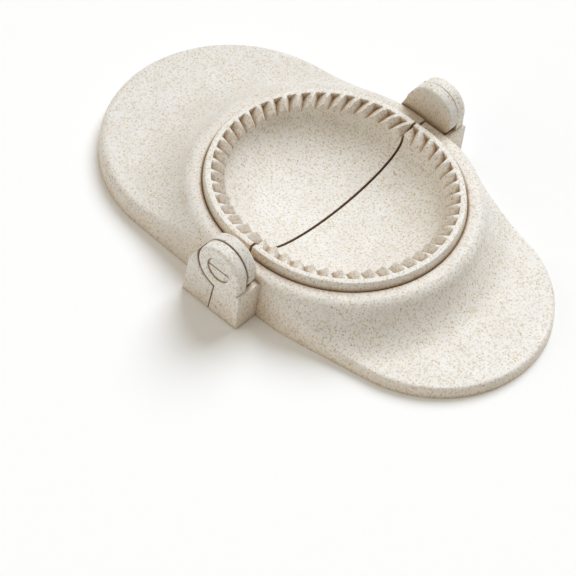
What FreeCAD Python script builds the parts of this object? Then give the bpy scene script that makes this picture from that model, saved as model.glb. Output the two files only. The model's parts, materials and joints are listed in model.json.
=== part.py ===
import FreeCAD, Part
import math
import os

# A hinged hand press lying open and flat, as it is filled.
# +X runs out along the front paddle, Y runs along the hinge line, +Z is up.
# The origin is on the table, below the middle of the open press.
# All lengths are millimetres and all angles are degrees.

# Pocket and its raised lip
lip_height = 22.5
lip_outer_radius = 44.0
lip_width = 2.2
lip_round = 0.4
collar_flare = 0.7
collar_height = 3.2
pocket_straight = 4.0
bowl_top_radius = 36.8
bowl_floor_height = 5.2
bowl_wall = 2.4
rim_step = 2.4
seat_depth = 1.2
seat_clearance = 0.15
seat_groove = 1.1

# Crimping teeth round the pocket
tooth_count = 25
tooth_height = 3.6
tooth_lip_depth = 2.4
tooth_fall = 1.6
tooth_skew_angle = 20.0
tooth_steep_share = 0.32
rear_tooth_phase_share = 0.2
front_tooth_phase_share = 0.7
tooth_overrun = 1.5

# Both paddles
shoulder_width = 3.2
crown_round = 4.5
wall = 2.6
side_draft = 1.2
side_pick_share = 0.25
rib_thickness = 2.0
rib_angle = 38.0
rib_setback = 2.0

# Rear paddle, the deeper one that stays on the table
rear_reach = 98.5
rear_side_margin = 7.8
rear_end_radius = 51.5
rear_waist_length = 12.0
rear_waist_round = 70.0
rear_edge_thickness = 8.0
rear_edge_round = 2.6
rear_flare_angle = 52.0

# Front paddle, the thinner one that folds over
front_reach = 93.0
front_side_margin = 6.3
front_end_radius = 44.5
front_waist_length = 21.0
front_waist_round = 70.0
front_edge_thickness = 4.8
front_edge_round = 1.3
front_flare_angle = 75.0

# Hinge at each end of the pocket
closed_lip_gap = 0.8
hinge_line_gap = 1.0
knuckle_radius = 10.0
knuckle_gap = 0.3
knuckle_thickness = 4.4
knuckle_round = 1.0
web_height = 15.0
ear_radius = 9.6
ear_thickness = 4.5
ear_round = 1.2
block_round = 0.5
side_gap = 0.5
turning_gap = 0.5
under_knuckle_gap = 0.5
table_gap = 0.4
split_gap = 0.3
split_top = 1.2
split_foot = 3.0
rear_block_reach = 16.0
rear_block_corner = 13.8
rear_block_height = 18.3
front_block_reach = 10.6
front_ledge_height = 16.5

# Split pins that the hinge turns on
pin_radius = 5.0
pin_running_clearance = 0.08
pin_skin = 1.0
pin_slot_width = 0.6
pin_slot_depth = 5.0
pin_recess = 0.5
pin_round = 0.4

overrun = 5.0

# Places that follow from the sizes
shoulder_height = lip_height - collar_height
seat_height = shoulder_height - seat_depth
lip_inner_radius = lip_outer_radius - lip_width
rim_foot_radius = lip_outer_radius + collar_flare
throat_radius = rim_foot_radius - rim_step
tooth_root_height = lip_height - tooth_lip_depth - tooth_fall
hinge_height = lip_height + closed_lip_gap / 2
hinge_relief = hinge_line_gap / 2
rear_half_width = rim_foot_radius + rear_side_margin
front_half_width = rim_foot_radius + front_side_margin
knuckle_inner_face = front_half_width + knuckle_gap
knuckle_outer_face = knuckle_inner_face + knuckle_thickness
ear_inner_face = knuckle_outer_face + side_gap
ear_outer_face = ear_inner_face + ear_thickness
hinge_line_x = (rear_reach - front_reach) / 2

rear = {
    "side": -1,
    "reach": rear_reach,
    "half_width": rear_half_width,
    "end_radius": rear_end_radius,
    "waist_length": rear_waist_length,
    "waist_round": rear_waist_round,
    "edge_thickness": rear_edge_thickness,
    "edge_round": rear_edge_round,
    "flare_angle": rear_flare_angle,
    "tooth_phase_share": rear_tooth_phase_share,
}
front = {
    "side": 1,
    "reach": front_reach,
    "half_width": front_half_width,
    "end_radius": front_end_radius,
    "waist_length": front_waist_length,
    "waist_round": front_waist_round,
    "edge_thickness": front_edge_thickness,
    "edge_round": front_edge_round,
    "flare_angle": front_flare_angle,
    "tooth_phase_share": front_tooth_phase_share,
}

UP = FreeCAD.Vector(0, 0, 1)
ALONG_HINGE = FreeCAD.Vector(0, 1, 0)


class Trace:
    """A half section drawn as radius against height, in the plane of the hinge line."""

    def __init__(self, radius, height):
        self.start = FreeCAD.Vector(0, radius, height)
        self.place = self.start
        self.edges = []

    def line(self, radius, height):
        target = FreeCAD.Vector(0, radius, height)
        if target.distanceToPoint(self.place) > Part.Precision.confusion():
            self.edges.append(Part.LineSegment(self.place, target).toShape())
            self.place = target
        return self

    def bend(self, centre, bend_radius, start_angle, end_angle):
        """Run straight to the start of an arc, then along it."""
        spots = []
        for angle in (start_angle, (start_angle + end_angle) / 2, end_angle):
            turn = math.radians(angle)
            radius = centre[0] + bend_radius * math.cos(turn)
            height = centre[1] + bend_radius * math.sin(turn)
            spots.append(FreeCAD.Vector(0, radius, height))
        self.line(spots[0].y, spots[0].z)
        self.edges.append(Part.Arc(self.place, spots[1], spots[2]).toShape())
        self.place = spots[2]
        return self

    def quarter_bowl(self, radius, top, floor):
        """A quarter ellipse between the rim at the given radius and the middle of the floor."""
        middle = FreeCAD.Vector(0, 0, top)
        at_rim = FreeCAD.Vector(0, radius, top)
        at_floor = FreeCAD.Vector(0, 0, floor)
        if radius > top - floor:
            ellipse = Part.Ellipse(at_rim, at_floor, middle)
        else:
            ellipse = Part.Ellipse(at_floor, at_rim, middle)
        from_rim = self.place.distanceToPoint(at_rim) < self.place.distanceToPoint(at_floor)
        far_end = at_floor if from_rim else at_rim
        first = ellipse.parameter(at_rim)
        last = ellipse.parameter(at_floor)
        curve = Part.ArcOfEllipse(ellipse, min(first, last), max(first, last))
        self.edges.append(curve.toShape())
        self.place = far_end
        return self

    def face(self):
        self.line(self.start.y, self.start.z)
        return Part.Face(Part.Wire(Part.__sortEdges__(self.edges)))


def one_solid(shape):
    """The single solid of a finished boolean result."""
    clean = shape.removeSplitter()
    if len(clean.Solids) != 1:
        raise ValueError("expected one solid, found %d" % len(clean.Solids))
    return clean.Solids[0]


def mirrored(shape):
    """The same shape at the other end of the hinge line."""
    return shape.mirror(FreeCAD.Vector(), ALONG_HINGE)


def round_the_pocket(section, side):
    """Turn a half section round one half pocket and run it straight to the hinge line."""
    centre = FreeCAD.Vector(side * pocket_straight, 0, 0)
    placed = section.translated(centre)
    turned = placed.revolve(centre, UP, -side * 180)
    run = FreeCAD.Vector(side * (hinge_relief - pocket_straight), 0, 0)
    straight = placed.extrude(run)
    return turned.fuse([straight, mirrored(straight)]).removeSplitter()


def crown_section(sizes, inset):
    """Section of a paddle's top: flat shoulder, round edge, hollow flare and thin wing."""
    flare = math.radians(sizes["flare_angle"])
    flat_end = lip_outer_radius + collar_flare + shoulder_width
    round_drop = crown_round * (1 - math.cos(flare))
    full_drop = shoulder_height - sizes["edge_thickness"]
    flare_radius = (full_drop - round_drop) / (1 - math.cos(flare))
    round_centre = (flat_end, shoulder_height - crown_round)
    foot_radius = flat_end + (crown_round + flare_radius) * math.sin(flare)
    flare_centre = (foot_radius, sizes["edge_thickness"] + flare_radius)
    far_radius = sizes["reach"] + overrun
    trace = Trace(0, -overrun if inset else 0)
    trace.line(0, shoulder_height - inset)
    trace.bend(round_centre, crown_round - inset, 90, 90 - sizes["flare_angle"])
    trace.bend(flare_centre, flare_radius + inset, 270 - sizes["flare_angle"], 270)
    trace.line(far_radius, sizes["edge_thickness"] - inset)
    trace.line(far_radius, -overrun if inset else 0)
    return trace.face()


def plan_outline(sizes, inset, lean, height):
    """Outline of a paddle from above: a waist at the hinge, slanted sides and a round end."""
    side = sizes["side"]
    end_centre = sizes["reach"] - sizes["end_radius"]
    end_radius = sizes["end_radius"] - inset - lean
    half_width = sizes["half_width"] - inset - lean
    waist = sizes["waist_length"]
    reach_x = end_centre - waist
    distance = math.hypot(reach_x, sizes["half_width"])
    slant = math.atan2(sizes["half_width"], reach_x) - math.asin(sizes["end_radius"] / distance)
    tangent_x = end_centre + end_radius * math.sin(slant)
    tangent_y = end_radius * math.cos(slant)
    round_radius = sizes["waist_round"] - inset - lean
    round_start = waist - sizes["waist_round"] * math.tan(slant / 2)
    round_centre_y = half_width - round_radius

    def place(x, y):
        return FreeCAD.Vector(side * x, y, height)

    def on_waist_round(angle, sign):
        x = round_start + round_radius * math.sin(angle)
        return place(x, sign * (round_centre_y + round_radius * math.cos(angle)))

    near_line = hinge_relief + inset
    top = [place(near_line, half_width), place(round_start, half_width)]
    low = [place(near_line, -half_width), place(round_start, -half_width)]
    edges = [
        Part.LineSegment(low[0], top[0]),
        Part.LineSegment(top[0], top[1]),
        Part.Arc(top[1], on_waist_round(slant / 2, 1), on_waist_round(slant, 1)),
        Part.LineSegment(on_waist_round(slant, 1), place(tangent_x, tangent_y)),
        Part.Arc(place(tangent_x, tangent_y), place(end_centre + end_radius, 0),
                 place(tangent_x, -tangent_y)),
        Part.LineSegment(place(tangent_x, -tangent_y), on_waist_round(slant, -1)),
        Part.Arc(on_waist_round(slant, -1), on_waist_round(slant / 2, -1), low[1]),
        Part.LineSegment(low[1], low[0]),
    ]
    return Part.Wire([edge.toShape() for edge in edges])


def drafted_block(sizes, inset):
    """The paddle's outline carried up with a slight draft, so that it leaves its mould."""
    low = plan_outline(sizes, inset, 0, 0)
    high = plan_outline(sizes, inset, side_draft, shoulder_height)
    return Part.makeLoft([low, high], True, True)


def edge_of_wing(shape, sizes):
    """Edges along the top of a paddle's side, away from the hinge line."""
    edges = []
    for edge in shape.Edges:
        box = edge.BoundBox
        above_table = box.ZMin > sizes["edge_thickness"] / 2
        past_hinge_line = max(abs(box.XMin), abs(box.XMax)) > hinge_line_gap
        off_hinge_line = box.XLength > hinge_relief
        middle = edge.valueAt((edge.FirstParameter + edge.LastParameter) / 2)
        outer = shape_is_outside(middle, sizes)
        if above_table and past_hinge_line and off_hinge_line and outer:
            edges.append(edge)
    return edges


def shape_is_outside(spot, sizes):
    """Whether a spot lies on the drafted side of a paddle rather than on its crown."""
    lean = side_draft * spot.z / shoulder_height
    wire = plan_outline(sizes, 0, lean, spot.z)
    reach = wire.distToShape(Part.Vertex(spot))[0]
    return reach < side_draft * side_pick_share


def rib_set(sizes):
    """Three ribs under a wing, fanned out from the bowl to the skirt."""
    side = sizes["side"]
    centre = FreeCAD.Vector(side * pocket_straight, 0, 0)
    start = throat_radius + rib_setback
    length = sizes["reach"] - start
    ribs = []
    for angle in (-rib_angle, 0, rib_angle):
        corner = FreeCAD.Vector(start, -rib_thickness / 2, 0)
        rib = Part.makeBox(length, rib_thickness, shoulder_height, corner)
        turn = angle if side > 0 else 180 + angle
        rib.rotate(FreeCAD.Vector(), UP, turn)
        rib.translate(centre)
        ribs.append(rib)
    return ribs


def bowl_space(clearance):
    """Room that a crimp bowl takes in its paddle, with the seat that its rim stands on."""
    rim = rim_foot_radius + clearance
    bowl_radius = bowl_top_radius + bowl_wall + clearance
    bowl_top = tooth_root_height - bowl_wall
    trace = Trace(0, shoulder_height + overrun)
    trace.line(rim + seat_groove, shoulder_height + overrun)
    trace.line(rim + seat_groove, shoulder_height)
    trace.bend((rim + seat_groove, shoulder_height - seat_groove), seat_groove, 90, 180)
    trace.line(rim, seat_height)
    trace.line(throat_radius + clearance, seat_height)
    trace.line(throat_radius + clearance, bowl_top)
    trace.line(bowl_radius, bowl_top)
    trace.quarter_bowl(bowl_radius, bowl_top, bowl_floor_height - bowl_wall - clearance)
    return trace.face()


def paddle_body(sizes):
    """One moulded paddle, open underneath, without its hinge."""
    outside = round_the_pocket(crown_section(sizes, 0), sizes["side"])
    body = one_solid(outside.common(drafted_block(sizes, 0)))
    body = one_solid(body.makeFillet(sizes["edge_round"], edge_of_wing(body, sizes)))
    inside = round_the_pocket(crown_section(sizes, wall), sizes["side"])
    hollow = inside.common(drafted_block(sizes, wall)).cut(rib_set(sizes))
    return body.cut(hollow)


def end_plate(points, inner_face, outer_face):
    """A flat plate across the hinge line, from its outline of (x, height) points."""
    corners = [FreeCAD.Vector(x, inner_face, height) for x, height in points]
    face = Part.Face(Part.makePolygon(corners + corners[:1]))
    return face.extrude(ALONG_HINGE * (outer_face - inner_face))


def hinge_disc(radius, inner_face, outer_face):
    """A disc on the hinge line."""
    start = FreeCAD.Vector(0, inner_face, hinge_height)
    return Part.makeCylinder(radius, outer_face - inner_face, start, ALONG_HINGE)


def rounded_disc(radius, inner_face, outer_face, softness, at_face):
    """A hinge disc with one of its rims rounded."""
    disc = hinge_disc(radius, inner_face, outer_face)
    for edge in disc.Edges:
        box = edge.BoundBox
        if box.YLength < softness and abs(box.YMin - at_face) < softness and box.XLength > radius:
            return disc.makeFillet(softness, [edge])
    return disc


def softened(block):
    """A hinge block with the edges of its outer face rounded."""
    edges = []
    for edge in block.Edges:
        if edge.BoundBox.YMin > ear_outer_face - block_round / 2:
            edges.append(edge)
    return block.makeFillet(block_round, edges)


def softened_ear(block):
    """A front hinge block with the rim of its ear rounded, down to the ledge beside it."""
    rim = []
    for edge in block.Edges:
        box = edge.BoundBox
        on_outer_face = box.YMin > ear_outer_face - block_round / 2
        ear_side = box.XMin > ear_radius - block_round and box.XLength < block_round
        round_top = box.ZMax > hinge_height + block_round
        if on_outer_face and (round_top or ear_side and box.ZMin > front_ledge_height - block_round):
            rim.append(edge)
    return block.makeFillet(ear_round, rim)


def split_line(shift):
    """The leaning joint line between the two hinge blocks, below the ear."""
    return [(-split_foot + shift, 0), (-split_top + shift, hinge_height - ear_radius)]


def rear_block_outline(height):
    """Rear hinge block: leaning back edge and a slope that runs on to the knuckle."""
    corner = (-rear_block_corner, height)
    away = math.hypot(corner[0], hinge_height - corner[1])
    to_corner = math.atan2(corner[1] - hinge_height, corner[0])
    touch = to_corner - math.acos(knuckle_radius / away)
    touch_x = knuckle_radius * math.cos(touch)
    touch_z = hinge_height + knuckle_radius * math.sin(touch)
    foot, top = split_line(-split_gap / 2)
    return [(-rear_block_reach, 0), corner, (touch_x, touch_z), (0, hinge_height), top, foot]


def front_block(outline_shift, ear_space):
    """Front hinge block and ear; grown all round, it is the room they need beside the rear."""
    foot, top = split_line(split_gap / 2 - outline_shift)
    low = 0 if ear_space else table_gap
    ledge = front_ledge_height + outline_shift
    reach = front_block_reach + outline_shift
    ear_side = ear_radius + outline_shift
    inner = ear_inner_face - (side_gap if ear_space else 0)
    ear_points = [(foot[0], low), top, (0, hinge_height), (ear_side, hinge_height),
                  (ear_side, ledge), (reach, ledge), (reach, low)]
    ear = end_plate(ear_points, inner, ear_outer_face)
    disc = hinge_disc(ear_side, inner, ear_outer_face)
    arm_points = [(foot[0], low), top, (top[0], ledge), (reach, ledge), (reach, low)]
    arm_start = front_half_width - side_draft - wall / 2 - outline_shift
    arm = end_plate(arm_points, arm_start, ear_inner_face)
    knuckle_room = knuckle_radius + under_knuckle_gap - outline_shift
    arm = arm.cut(hinge_disc(knuckle_room, 0, ear_inner_face))
    block = ear.fuse([disc, arm]).removeSplitter()
    return block if ear_space else softened_ear(block)


def rear_hinge_end():
    """Knuckle and outer block that belong to the rear paddle, at the far end of the hinge."""
    web = end_plate(rear_block_outline(web_height), knuckle_inner_face, knuckle_outer_face)
    outer = end_plate(rear_block_outline(rear_block_height), knuckle_outer_face, ear_outer_face)
    swing = ear_radius + turning_gap
    side_room = [(-swing, hinge_height), (-swing, hinge_height + swing), (0, hinge_height + swing)]
    folded_ear = end_plate(side_room + [(0, hinge_height)], knuckle_outer_face, ear_outer_face)
    outer = outer.cut([hinge_disc(swing, 0, ear_outer_face + overrun), folded_ear])
    knuckle = rounded_disc(knuckle_radius, knuckle_inner_face, knuckle_outer_face,
                           knuckle_round, knuckle_inner_face)
    return softened(web.fuse([outer, knuckle]).removeSplitter())


def knuckle_bore():
    """Blind bore in the knuckle that the pin is pressed into."""
    return hinge_disc(pin_radius, knuckle_inner_face + pin_skin, knuckle_outer_face)


def ear_bore():
    """Bore through the ear, with room to turn on the pin."""
    return hinge_disc(pin_radius + pin_running_clearance, 0, ear_outer_face + overrun)


def rear_paddle():
    body = paddle_body(rear)
    end = rear_hinge_end()
    room = front_block(turning_gap, True)
    body = body.fuse([end, mirrored(end)]).removeSplitter()
    body = body.cut([room, mirrored(room), knuckle_bore(), mirrored(knuckle_bore())])
    body = body.cut(round_the_pocket(bowl_space(seat_clearance), -1))
    return one_solid(body)


def front_paddle():
    body = paddle_body(front)
    end = front_block(0, False).cut(ear_bore())
    body = body.fuse([end, mirrored(end)]).removeSplitter()
    body = body.cut(round_the_pocket(bowl_space(seat_clearance), 1))
    return one_solid(body)


def crimp_bowl_section():
    """Section of the crimp bowl: flat lip, collar, seat rim and thin bowl."""
    bowl_radius = bowl_top_radius + bowl_wall
    bowl_top = tooth_root_height - bowl_wall
    trace = Trace(0, bowl_floor_height)
    trace.quarter_bowl(bowl_top_radius, tooth_root_height, bowl_floor_height)
    trace.line(bowl_top_radius, lip_height)
    trace.bend((lip_outer_radius - lip_round, lip_height - lip_round), lip_round, 90, 0)
    trace.line(rim_foot_radius, shoulder_height)
    trace.line(rim_foot_radius, seat_height)
    trace.line(throat_radius, seat_height)
    trace.line(throat_radius, bowl_top)
    trace.line(bowl_radius, bowl_top)
    trace.quarter_bowl(bowl_radius, bowl_top, bowl_floor_height - bowl_wall)
    return trace.face()


def tooth_groove(side, travel, pitch):
    """One slanting groove, at a distance along the lip: a short steep face, and a long ramp."""
    straight = pocket_straight - hinge_relief
    bend = math.pi * lip_inner_radius
    turn = min(max(travel - straight, 0), bend) / lip_inner_radius - math.pi / 2
    short_of_bend = max(straight - travel, 0) + max(travel - straight - bend, 0)
    skew = math.radians(tooth_skew_angle)
    outward = FreeCAD.Vector(side * math.cos(turn), math.sin(turn), 0)
    onward = FreeCAD.Vector(-side * math.sin(turn), math.cos(turn), 0)
    inward = outward * -math.cos(skew) - onward * math.sin(skew)
    across = onward * math.cos(skew) - outward * math.sin(skew)
    width = pitch * math.cos(skew)
    band = (lip_inner_radius - bowl_top_radius) / math.cos(skew)
    fall = tooth_fall / band
    tall = tooth_lip_depth + tooth_fall + tooth_overrun
    steep = width * tooth_steep_share * tall / tooth_height
    ramp = width * (1 - tooth_steep_share) * tall / tooth_height
    centre = FreeCAD.Vector(side * (pocket_straight - short_of_bend), 0, 0)
    start = centre + outward * lip_inner_radius - inward * tooth_overrun
    root = start + UP * (lip_height - tooth_lip_depth + fall * tooth_overrun)
    corners = [root, root + UP * tall - across * steep, root + UP * tall + across * ramp]
    face = Part.Face(Part.makePolygon(corners + corners[:1]))
    run = (inward - UP * fall) * (band + tooth_overrun + tooth_overrun)
    return face.extrude(run)


def crimp_bowl(sizes):
    """The insert with the pocket, its lip and its ring of crimping teeth."""
    side = sizes["side"]
    bowl = round_the_pocket(crimp_bowl_section(), side)
    drum = Trace(0, 0).line(0, lip_height + overrun).line(lip_inner_radius, lip_height + overrun)
    inside_lip = round_the_pocket(drum.line(lip_inner_radius, 0).face(), side)
    pitch = (math.pi * lip_inner_radius + 2 * (pocket_straight - hinge_relief)) / tooth_count
    grooves = []
    for index in range(-1, tooth_count + 1):
        travel = (index + sizes["tooth_phase_share"]) * pitch
        grooves.append(tooth_groove(side, travel, pitch).common(inside_lip))
    return one_solid(bowl.cut(grooves))


def hinge_pin():
    """A split pin: pressed into the knuckle at one end, with a slotted end in the ear."""
    inner = knuckle_inner_face + pin_skin
    outer = ear_outer_face - pin_recess
    pin = rounded_disc(pin_radius, inner, outer, pin_round, outer)
    corner = FreeCAD.Vector(-pin_radius - overrun, outer - pin_slot_depth, -pin_slot_width / 2)
    length = 2 * (pin_radius + overrun)
    slot = Part.makeBox(length, pin_slot_depth + overrun, pin_slot_width, corner)
    slot.translate(UP * hinge_height)
    return one_solid(pin.cut(slot))


os.makedirs("parts", exist_ok=True)
pieces = {
    "rear_paddle": rear_paddle(),
    "front_paddle": front_paddle(),
    "rear_crimp_bowl": crimp_bowl(rear),
    "front_crimp_bowl": crimp_bowl(front),
    "far_hinge_pin": hinge_pin(),
    "near_hinge_pin": mirrored(hinge_pin()),
}
for name, shape in pieces.items():
    shape.translate(FreeCAD.Vector(hinge_line_x, 0, 0))
    shape.exportStep("parts/" + name + ".step")
    box = shape.BoundBox
    print(name, shape.isValid(), len(shape.Solids), "solid(s), volume", round(shape.Volume),
          "X", round(box.XMin, 1), round(box.XMax, 1), "Y", round(box.YMin, 1),
          round(box.YMax, 1), "Z", round(box.ZMin, 1), round(box.ZMax, 1))
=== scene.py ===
import json
import math
import bmesh
import bpy
from mathutils import Matrix, Vector


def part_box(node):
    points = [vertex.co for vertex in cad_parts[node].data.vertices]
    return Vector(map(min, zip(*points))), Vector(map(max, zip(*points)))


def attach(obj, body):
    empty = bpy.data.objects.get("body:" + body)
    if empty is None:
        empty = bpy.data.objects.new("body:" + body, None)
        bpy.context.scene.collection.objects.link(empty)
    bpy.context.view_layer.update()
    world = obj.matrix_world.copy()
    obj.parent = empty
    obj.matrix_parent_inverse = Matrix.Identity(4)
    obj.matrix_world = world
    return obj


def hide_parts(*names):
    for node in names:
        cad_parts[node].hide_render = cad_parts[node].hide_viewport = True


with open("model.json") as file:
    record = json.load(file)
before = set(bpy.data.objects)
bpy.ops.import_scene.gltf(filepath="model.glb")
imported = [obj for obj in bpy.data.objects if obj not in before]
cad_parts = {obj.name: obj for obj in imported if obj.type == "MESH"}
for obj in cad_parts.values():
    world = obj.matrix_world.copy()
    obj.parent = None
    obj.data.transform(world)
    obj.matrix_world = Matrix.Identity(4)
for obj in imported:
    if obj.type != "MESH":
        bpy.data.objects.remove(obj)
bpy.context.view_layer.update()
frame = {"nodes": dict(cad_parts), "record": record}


# Paddles. The two halves of the press: each is one moulding with a flat shoulder round the pocket,
# a hollow slope down to a broad flat handle, and its share of the two hinges.
# They are injection moulded in pale plastic that is filled with ground straw, and left unpainted.
def place_node(tree, kind, settings, inputs):
    """Add a node with its settings, each input fed by a value or by another node's output."""
    node = tree.nodes.new(kind)
    for name, value in settings.items():
        setattr(node, name, value)
    for name, value in inputs.items():
        if isinstance(value, bpy.types.NodeSocket):
            tree.links.new(value, node.inputs[name])
        else:
            node.inputs[name].default_value = value
    return node


def reckon(tree, operation, *values):
    """One step of arithmetic between node outputs and plain numbers."""
    inputs = dict(enumerate(values))
    return place_node(tree, "ShaderNodeMath", {"operation": operation}, inputs).outputs[0]


def between(tree, value, low, high):
    """Spread a value that runs from 0 to 1 over a range."""
    spread = {"From Min": 0.0, "From Max": 1.0, "To Min": low, "To Max": high}
    return place_node(tree, "ShaderNodeMapRange", {}, {"Value": value, **spread}).outputs[0]


def cloud(tree, spot, patch, detail):
    """Soft irregular patches of about the given size."""
    inputs = {"Vector": spot, "Scale": 1 / patch, "Detail": detail, "Roughness": 0.55}
    return place_node(tree, "ShaderNodeTexNoise", {}, inputs).outputs["Fac"]


def tinted(tree, colour, mask, tint):
    """Lay one colour over another where the mask says."""
    mix = place_node(tree, "ShaderNodeMix", {"data_type": "RGBA"}, {0: mask, 6: colour, 7: tint})
    return mix.outputs[2]


def straw_bits(tree, spot, turn, length_ratio, spacing, share, width):
    """Scattered bits of straw, one at most in each cell: how much of one lies here, and its tint."""
    turned = {"Vector": spot, "Rotation": turn, "Scale": (1, 1, 1 / length_ratio)}
    along = place_node(tree, "ShaderNodeMapping", {}, turned).outputs[0]
    cells = place_node(tree, "ShaderNodeTexVoronoi", {}, {"Vector": along, "Scale": 1 / spacing})
    draw = place_node(tree, "ShaderNodeSeparateColor", {}, {"Color": cells.outputs["Color"]})
    chosen = reckon(tree, "LESS_THAN", draw.outputs[0], share)
    edge = between(tree, draw.outputs[1], width / spacing / 4, width / spacing / 2)
    core = reckon(tree, "MULTIPLY", edge, 0.4)
    reach = {"Value": cells.outputs["Distance"], "From Min": edge, "From Max": core}
    blot = place_node(tree, "ShaderNodeMapRange", {"interpolation_type": "SMOOTHSTEP"}, reach)
    return reckon(tree, "MULTIPLY", blot.outputs[0], chosen), draw.outputs[2]


def with_painted_shade(tree, colour, reach, strength, tint):
    """Painted shade: darken and warm the colour in hollows and joints that other surfaces close in
    within the reach.
    """
    near = {"Distance": reach}
    air = place_node(tree, "ShaderNodeAmbientOcclusion", {"samples": 8}, near).outputs["AO"]
    shade_amount = reckon(tree, "MULTIPLY", reckon(tree, "SUBTRACT", 1.0, air), strength)
    settings = {"data_type": "RGBA", "blend_type": "MULTIPLY", "clamp_factor": True}
    shaded_mix = place_node(tree, "ShaderNodeMix", settings, {0: shade_amount, 6: colour, 7: tint})
    return shaded_mix.outputs[2]


def straw_plastic(name, batch, shade, edge_round, joint_shade_strength):
    """Off-white plastic with clouds, specks and short fibres of straw in it.

    Each batch has its own scatter of straw. The shade darkens its base colours, edge_round is the
    radius that its edges seem to have, and the last value sets how strongly painted shade darkens
    its narrow joints. Its hollows get a fixed amount of painted shade as well.
    """
    material = bpy.data.materials.new(name)
    material.use_nodes = True
    tree = material.node_tree
    shader = tree.nodes["Principled BSDF"]
    place = place_node(tree, "ShaderNodeTexCoord", {}, {}).outputs["Object"]
    batch_shift = (0.31, 0.17, 0.23)
    shift = {"Vector": place, "Location": [length * batch for length in batch_shift]}
    spot = place_node(tree, "ShaderNodeMapping", {}, shift).outputs[0]

    pale = (0.85 * shade, 0.855 * shade, 0.84 * shade, 1)
    deep = (0.76 * shade, 0.745 * shade, 0.705 * shade, 1)
    cloud_patch = 0.012
    clouds = between(tree, cloud(tree, spot, cloud_patch, 2), -0.3, 1.2)
    colour = tinted(tree, pale, clouds, deep)

    taupe = (0.55, 0.44, 0.32, 1)
    blotch_patch, blotch_strength = 0.0009, 0.44
    blotched = {"Value": cloud(tree, spot, blotch_patch, 1.5), "From Min": 0.50, "From Max": 0.36}
    softly = {"interpolation_type": "SMOOTHSTEP"}
    blotches = place_node(tree, "ShaderNodeMapRange", softly, blotched).outputs[0]
    colour = tinted(tree, colour, reckon(tree, "MULTIPLY", blotches, blotch_strength), taupe)

    # Straw: two scatters of specks, then three of fibres that lie in different directions.
    # Turn, length to width, spacing, share of cells filled, width, strength, lean towards brown.
    ochre, brown = (0.66, 0.52, 0.24, 1), (0.31, 0.22, 0.14, 1)
    bits = [
        ((0, 0, 0), 1.0, 0.0014, 0.80, 0.00112, 0.85, -0.5),
        ((0.5, 0.3, 0.9), 1.3, 0.0011, 0.75, 0.00080, 0.80, 0.5),
        ((1.4, 0.2, 0.3), 6.0, 0.0011, 0.35, 0.00062, 0.50, 0.5),
        ((1.6, 0.1, 1.4), 7.0, 0.0012, 0.35, 0.00066, 0.50, 0.5),
        ((1.3, 0.3, 2.5), 5.0, 0.0010, 0.35, 0.00058, 0.50, 0.4),
    ]
    for turn, length_ratio, spacing, share, width, strength, browner in bits:
        mask, draw = straw_bits(tree, spot, turn, length_ratio, spacing, share, width)
        tint = tinted(tree, ochre, between(tree, draw, browner - 0.3, browner + 0.8), brown)
        colour = tinted(tree, colour, reckon(tree, "MULTIPLY", mask, strength), tint)

    # Painted shade: the colour is darkened and warmed where nearby surfaces close in, broadly in
    # hollows and tightly in joints and tooth roots.
    hollow_shade_reach, hollow_shade_strength, hollow_shade_tint = 0.02, 1.1, (0.90, 0.76, 0.60, 1)
    joint_shade_reach, joint_shade_tint = 0.0018, (0.52, 0.40, 0.28, 1)
    colour = with_painted_shade(tree, colour, hollow_shade_reach, hollow_shade_strength, hollow_shade_tint)
    colour = with_painted_shade(tree, colour, joint_shade_reach, joint_shade_strength, joint_shade_tint)
    tree.links.new(colour, shader.inputs["Base Color"])

    gloss_patch, grain_patch, grain_height = 0.004, 0.0007, 0.00012
    roughness = between(tree, cloud(tree, spot, gloss_patch, 3), 0.42, 0.62)
    tree.links.new(roughness, shader.inputs["Roughness"])
    edges = place_node(tree, "ShaderNodeBevel", {"samples": 4}, {"Radius": edge_round}).outputs[0]
    skin = {"Height": cloud(tree, spot, grain_patch, 2), "Strength": 0.25,
            "Distance": grain_height, "Normal": edges}
    bumps = place_node(tree, "ShaderNodeBump", {}, skin).outputs[0]
    tree.links.new(bumps, shader.inputs["Normal"])
    return material


def dress(node, batch, shade):
    """Give a piece that already has its final shape the straw plastic."""
    # Painted shade in the narrow joints of these pieces is kept light.
    edge_round, joint_shade_strength = 0.0004, 0.7
    plastic = straw_plastic(node + "_straw_plastic", batch, shade, edge_round, joint_shade_strength)
    piece = frame["nodes"][node]
    piece.data.materials.clear()
    piece.data.materials.append(plastic)


# The rear paddle's colour is darkened a little as painted shade, for the light falling off over the
# rear of the press.
dress("rear_paddle", 1, 0.915)
dress("front_paddle", 2, 1.0)


# Hinge pins. Two short split pins, pressed into the knuckles of the rear paddle, that the ears of
# the front paddle turn on. They are moulded in the same plastic, and only their slotted ends show.
dress("near_hinge_pin", 3, 0.97)
dress("far_hinge_pin", 4, 0.97)


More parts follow.
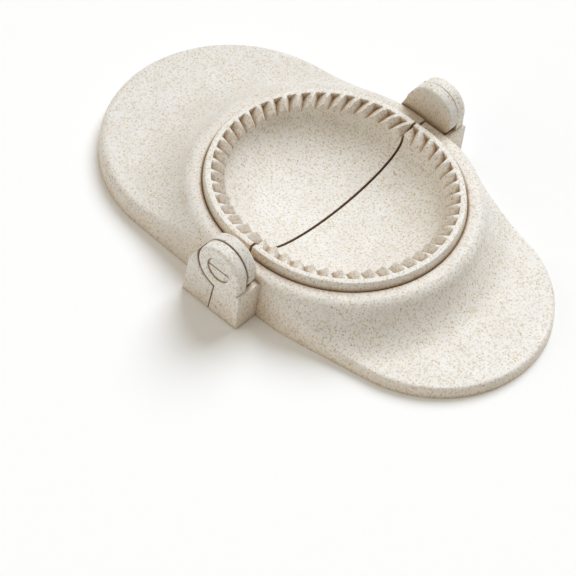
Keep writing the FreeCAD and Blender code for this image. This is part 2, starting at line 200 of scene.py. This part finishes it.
# Crimp bowls. Two half pockets of the same plastic, each with a thin raised lip and a row of
# slanting teeth inside it that crimp the rim of what is pressed. Each is a separate moulding, and
# its stepped rim drops into the seat round the paddle's pocket.
def crimp_bowl_section(low, high):
    """The bowl's section, from its floor round to its underside.

    Each point is a radius, a height, the height of the tooth roots there, and its share of a tooth.
    The box of the bowl gives its rim, its top and its bottom.
    """
    rim_radius, top = high.y, high.z
    lip_width, collar_flare, collar_height, seat_depth = 0.0022, 0.0007, 0.0032, 0.0012
    tooth_lip_depth, tooth_fall, tooth_reach = 0.0024, 0.0016, 0.005
    wall, rim_step = 0.0024, 0.0024
    lip_radius = rim_radius - collar_flare
    shoulder = top - collar_height
    seat = shoulder - seat_depth
    lip_inside = lip_radius - lip_width
    bowl_radius = lip_inside - tooth_reach
    root = top - tooth_lip_depth - tooth_fall
    section = []

    # Inside of the bowl, from the middle of its floor up to its mouth.
    steps = 18
    for step in range(steps + 1):
        turn = math.pi / 2 * step / steps
        height = root - (root - low.z - wall) * math.cos(turn)
        section.append((bowl_radius * math.sin(turn), height, 0, 0))

    # Inner ends of the teeth, with a small round, and then their roots as they climb to the lip.
    end_round = 0.0003
    for share, inset in ((0.5, 0), (0.88, 0), (0.96, 0.3), (1, 1)):
        along = end_round * inset
        height = root + tooth_fall * along / tooth_reach
        section.append((bowl_radius + along, height, height, share))
    for along_share in (0.2, 0.4, 0.6, 0.8, 1):
        height = root + tooth_fall * along_share
        section.append((bowl_radius + tooth_reach * along_share, height, height, 1))

    # Both edges of the lip. The teeth still run into the inner one.
    inner_round, outer_round = 0.00025, 0.0004
    for degrees in (0, 30, 60, 90):
        turn = math.radians(degrees)
        radius = lip_inside + inner_round * (1 - math.cos(turn))
        height = top - inner_round * (1 - math.sin(turn))
        section.append((radius, height, root + tooth_fall, 1))
    for degrees in (0, 22, 45, 68, 90):
        turn = math.radians(degrees)
        radius = lip_radius - outer_round * (1 - math.sin(turn))
        section.append((radius, top - outer_round * (1 - math.cos(turn)), 0, 0))

    # Collar, stepped rim, and the underside of the bowl back to the middle.
    throat = rim_radius - rim_step
    underside = root - wall
    for radius, height in ((rim_radius, shoulder), (rim_radius, seat), (throat, seat),
                           (throat, underside), (bowl_radius + wall, underside)):
        section.append((radius, height, 0, 0))
    steps = 14
    for step in range(1, steps + 1):
        turn = math.pi / 2 * step / steps
        height = underside - (underside - low.z) * math.sin(turn)
        section.append(((bowl_radius + wall) * math.cos(turn), height, 0, 0))
    return section, lip_inside, bowl_radius


def crimp_bowl_tree():
    """Nodes that carry the section round the half pocket and raise the row of teeth."""
    tree = bpy.data.node_groups.new("crimp_bowl", "GeometryNodeTree")
    face = tree.interface
    face.new_socket("Section", in_out="INPUT", socket_type="NodeSocketGeometry")
    for name in ("Side", "Hinge line", "Hinge gap", "Straight run", "Lip inside", "Bowl radius",
                 "Lip top", "Pitch", "First root", "Tooth height", "Skew", "Steep share"):
        face.new_socket(name, in_out="INPUT", socket_type="NodeSocketFloat")
    for name in ("Teeth", "Rows in a tooth"):
        face.new_socket(name, in_out="INPUT", socket_type="NodeSocketInt")
    face.new_socket("Plastic", in_out="INPUT", socket_type="NodeSocketMaterial")
    face.new_socket("Bowl", in_out="OUTPUT", socket_type="NodeSocketGeometry")
    sizes = tree.nodes.new("NodeGroupInput").outputs

    def count(operation, *values):
        return reckon(tree, operation, *values)

    points = place_node(tree, "GeometryNodeAttributeDomainSize", {}, {"Geometry": sizes["Section"]})
    rows = count("MULTIPLY_ADD", sizes["Teeth"], sizes["Rows in a tooth"], 1.0)
    grid_sizes = {"Vertices X": points.outputs["Point Count"], "Vertices Y": rows}
    grid = place_node(tree, "GeometryNodeMeshGrid", {}, grid_sizes)
    index = tree.nodes.new("GeometryNodeInputIndex").outputs[0]
    column = count("FLOOR", count("DIVIDE", count("ADD", index, 0.5), rows))
    row = count("SUBTRACT", index, count("MULTIPLY", column, rows))

    def of_section(kind, value):
        inputs = {"Geometry": sizes["Section"], "Value": value, "Index": column}
        return place_node(tree, "GeometryNodeSampleIndex", {"data_type": kind}, inputs).outputs[0]

    def written(name):
        inputs = {"Name": name}
        node = place_node(tree, "GeometryNodeInputNamedAttribute", {"data_type": "FLOAT"}, inputs)
        return of_section("FLOAT", node.outputs["Attribute"])

    share, root = written("tooth_share"), written("tooth_root")
    drawn = of_section("FLOAT_VECTOR", tree.nodes.new("GeometryNodeInputPosition").outputs[0])
    spot = place_node(tree, "ShaderNodeSeparateXYZ", {}, {"Vector": drawn})
    radius, height = spot.outputs["X"], spot.outputs["Z"]

    # How far along the lip each point lies, with the rows slanted where the teeth are.
    near_lip = count("MAXIMUM", radius, sizes["Bowl radius"])
    near_lip = count("MINIMUM", near_lip, sizes["Lip inside"])
    off_lip = count("SUBTRACT", sizes["Lip inside"], near_lip)
    slip = count("MULTIPLY", off_lip, count("TANGENT", sizes["Skew"]))
    slant = count("ARCTANGENT", count("DIVIDE", slip, near_lip))
    slant = count("MULTIPLY", slant, sizes["Lip inside"])
    tooth = count("SUBTRACT", count("DIVIDE", row, sizes["Rows in a tooth"]), 1.0)
    travel = count("SUBTRACT", count("MULTIPLY_ADD", tooth, sizes["Pitch"], sizes["First root"]), slant)
    bend = count("MULTIPLY", sizes["Lip inside"], math.pi)
    full = count("MULTIPLY_ADD", sizes["Straight run"], 2.0, bend)
    travel = count("MINIMUM", count("MAXIMUM", travel, 0.0), full)

    # Height of the teeth: a long ramp and a short steep face, cut off level with the lip.
    back = count("SUBTRACT", count("ADD", travel, slant), sizes["First root"])
    phase = count("FRACT", count("ADD", count("DIVIDE", back, sizes["Pitch"]), 2.0))
    ramp = count("DIVIDE", phase, count("SUBTRACT", 1.0, sizes["Steep share"]))
    steep = count("DIVIDE", count("SUBTRACT", 1.0, phase), sizes["Steep share"])
    crest_round, root_round, top_round = 0.06, 0.03, 0.0002
    wave = count("SMOOTH_MAX", count("SMOOTH_MIN", ramp, steep, crest_round), 0.0, root_round)
    narrowed = count("DIVIDE", near_lip, sizes["Lip inside"])
    tall = count("MULTIPLY", count("MULTIPLY", sizes["Tooth height"], narrowed), share)
    ridge = count("MULTIPLY_ADD", tall, wave, root)
    raised = count("MAXIMUM", height, count("SMOOTH_MIN", ridge, sizes["Lip top"], top_round))

    # Each point's place: straight from the hinge line, round the half circle, and straight back.
    turned = count("MAXIMUM", count("SUBTRACT", travel, sizes["Straight run"]), 0.0)
    turn = count("DIVIDE", count("MINIMUM", turned, bend), sizes["Lip inside"])
    left = count("MINIMUM", travel, count("SUBTRACT", full, travel))
    run = count("ADD", count("MINIMUM", left, sizes["Straight run"]), sizes["Hinge gap"])
    out = count("MULTIPLY_ADD", radius, count("SINE", turn), run)
    out = count("MULTIPLY_ADD", out, sizes["Side"], sizes["Hinge line"])
    across = count("MULTIPLY", count("MULTIPLY", radius, count("COSINE", turn)), -1.0)
    where = {"X": out, "Y": across, "Z": raised}
    place = place_node(tree, "ShaderNodeCombineXYZ", {}, where).outputs[0]
    shaped = {"Geometry": grid.outputs["Mesh"], "Position": place}
    bowl = place_node(tree, "GeometryNodeSetPosition", {}, shaped).outputs[0]
    same_spot = 0.000001
    closed = {"Geometry": bowl, "Distance": same_spot}
    bowl = place_node(tree, "GeometryNodeMergeByDistance", {}, closed).outputs[0]
    bowl = place_node(tree, "GeometryNodeRealizeInstances", {}, {"Geometry": bowl}).outputs[0]
    dressed = {"Geometry": bowl, "Material": sizes["Plastic"]}
    bowl = place_node(tree, "GeometryNodeSetMaterial", {}, dressed).outputs[0]
    tree.links.new(bowl, tree.nodes.new("NodeGroupOutput").inputs["Bowl"])
    return tree


def crimp_bowl(node, body, side, root_phase, batch):
    """One half pocket: its section, carried round by the nodes, then closed at the hinge line.

    The root_phase is the place of the first root along the lip, in tooth pitches.
    """
    low, high = (Vector(corner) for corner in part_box(node))
    section, lip_inside, bowl_radius = crimp_bowl_section(low, high)
    hinge_line = frame["record"]["behaviour"]["joints"][0]["pos_m"][0]
    hinge_gap, pocket_straight = 0.0005, 0.004
    teeth, rows_in_a_tooth, steep_rows = 25, 25, 8
    tooth_height, skew = 0.0036, math.radians(20)
    straight_run = pocket_straight - hinge_gap
    pitch = (math.pi * lip_inside + 2 * straight_run) / teeth
    rough = bpy.data.meshes.new(node + "_section")
    rough.from_pydata([(point[0], 0, point[1]) for point in section],
                      [(index, index + 1) for index in range(len(section) - 1)], [])
    for place, name in ((2, "tooth_root"), (3, "tooth_share")):
        attribute = rough.attributes.new(name, "FLOAT", "POINT")
        attribute.data.foreach_set("value", [point[place] for point in section])
    shell = bpy.data.objects.new(node + "_section", rough)
    bpy.context.scene.collection.objects.link(shell)
    # The bowl's seam and tooth roots get strong painted shade.
    shade, edge_round, joint_shade_strength = 1.0, 0.0002, 1.3
    plastic = straw_plastic(node + "_straw_plastic", batch, shade, edge_round, joint_shade_strength)
    modifier = shell.modifiers.new("crimp_bowl", "NODES")
    modifier.node_group = bowl_tree
    values = {"Side": side, "Hinge line": hinge_line, "Hinge gap": hinge_gap,
              "Straight run": straight_run, "Lip inside": lip_inside, "Bowl radius": bowl_radius,
              "Lip top": high.z, "Pitch": pitch, "First root": root_phase * pitch,
              "Tooth height": tooth_height, "Skew": skew,
              "Steep share": steep_rows / rows_in_a_tooth, "Teeth": teeth + 2,
              "Rows in a tooth": rows_in_a_tooth, "Plastic": plastic}
    for socket in bowl_tree.interface.items_tree:
        if socket.in_out == "INPUT" and socket.name in values:
            modifier[socket.identifier] = values[socket.name]
    evaluated = shell.evaluated_get(bpy.context.evaluated_depsgraph_get())
    mesh = bpy.data.meshes.new_from_object(evaluated)
    bpy.data.objects.remove(shell)
    work = bmesh.new()
    work.from_mesh(mesh)
    open_edges = [edge for edge in work.edges if edge.is_boundary]
    bmesh.ops.holes_fill(work, edges=open_edges, sides=0)
    bmesh.ops.recalc_face_normals(work, faces=work.faces)
    for face in work.faces:
        face.smooth = True
    work.to_mesh(mesh)
    work.free()
    sharp_angle = math.radians(35)
    mesh.set_sharp_from_angle(angle=sharp_angle)
    piece = bpy.data.objects.new(node + "_moulded", mesh)
    bpy.context.scene.collection.objects.link(piece)
    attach(piece, body)
    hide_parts(node)


bowl_tree = crimp_bowl_tree()
crimp_bowl("rear_crimp_bowl", "rear_half", -1.0, 0.2, 5)
crimp_bowl("front_crimp_bowl", "front_half", 1.0, 0.7, 6)


# Table. A plain white sheet that is far larger than the press, so that its edge is never seen.
floor_reach = 4.0
floor_mesh = bpy.data.meshes.new("table")
floor_mesh.from_pydata([(-floor_reach, -floor_reach, 0), (floor_reach, -floor_reach, 0),
                        (floor_reach, floor_reach, 0), (-floor_reach, floor_reach, 0)],
                       [], [(0, 1, 2, 3)])
floor = bpy.data.objects.new("table", floor_mesh)
bpy.context.scene.collection.objects.link(floor)
floor_material = bpy.data.materials.new("white_table")
floor_material.use_nodes = True
floor_shader = floor_material.node_tree.nodes["Principled BSDF"]
floor_shader.inputs["Base Color"].default_value = (0.95, 0.975, 1.0, 1)
floor_shader.inputs["Roughness"].default_value = 0.9
floor_shader.inputs["Specular IOR Level"].default_value = 0.1
floor_mesh.materials.append(floor_material)


# Studio light. A warm white room, a broad soft light from above and behind the press, and a weak
# warm fill from the front left of the picture.
world = bpy.data.worlds.new("white_studio")
bpy.context.scene.world = world
world.use_nodes = True
room = world.node_tree.nodes["Background"]
room.inputs["Color"].default_value = (1.0, 0.905, 0.76, 1)
room.inputs["Strength"].default_value = 0.40


def studio_light(name, towards, angle, strength, colour):
    """A distant light that shines from the given direction and looks as wide as the angle."""
    light = bpy.data.lights.new(name, "SUN")
    light.color = colour
    light.angle = math.radians(angle)
    light.energy = strength
    lamp = bpy.data.objects.new(name, light)
    bpy.context.scene.collection.objects.link(lamp)
    lamp.rotation_euler = Vector(towards).to_track_quat("Z", "Y").to_euler()


studio_light("key_light", (-0.20, 0.79, 0.96), 40, 2.36, (0.96, 0.995, 1.05))
studio_light("left_fill", (-0.5, -0.9, 0.55), 60, 0.58, (1, 0.93, 0.82))


# Camera. It looks down on the press from in front of its near hinge, with a long lens. The point
# on the table below the middle of the hinge line falls on the aimed pixel.
image_pixels = 576
focal_pixels = 2451.8
view_elevation = math.radians(49.98)
view_azimuth = math.radians(37.7)
view_roll = math.radians(7.0)
view_distance = 0.8928
aimed_pixel = (330.11, 224.05)
aimed_point = Vector((frame["record"]["behaviour"]["joints"][0]["pos_m"][0], 0, 0))

image_middle = image_pixels / 2
look = Vector((-math.sin(view_azimuth) * math.cos(view_elevation),
               math.cos(view_azimuth) * math.cos(view_elevation), -math.sin(view_elevation)))
level = Vector((math.cos(view_azimuth), math.sin(view_azimuth), 0))
upright = level.cross(look)
right = level * math.cos(view_roll) + upright * math.sin(view_roll)
up = upright * math.cos(view_roll) - level * math.sin(view_roll)
aside = (aimed_pixel[0] - image_middle) / focal_pixels * view_distance
above = (image_middle - aimed_pixel[1]) / focal_pixels * view_distance
lens = bpy.data.cameras.new("camera")
lens.sensor_fit = "HORIZONTAL"
lens.lens = focal_pixels / image_pixels * lens.sensor_width
lens.clip_start = 0.05
lens.clip_end = 20
camera = bpy.data.objects.new("camera", lens)
bpy.context.scene.collection.objects.link(camera)
turn = Matrix((right, up, -look)).transposed().to_4x4()
stand = aimed_point - (look * view_distance + right * aside + up * above)
camera.matrix_world = Matrix.Translation(stand) @ turn
bpy.context.scene.camera = camera

bpy.context.scene.view_settings.view_transform = "Standard"
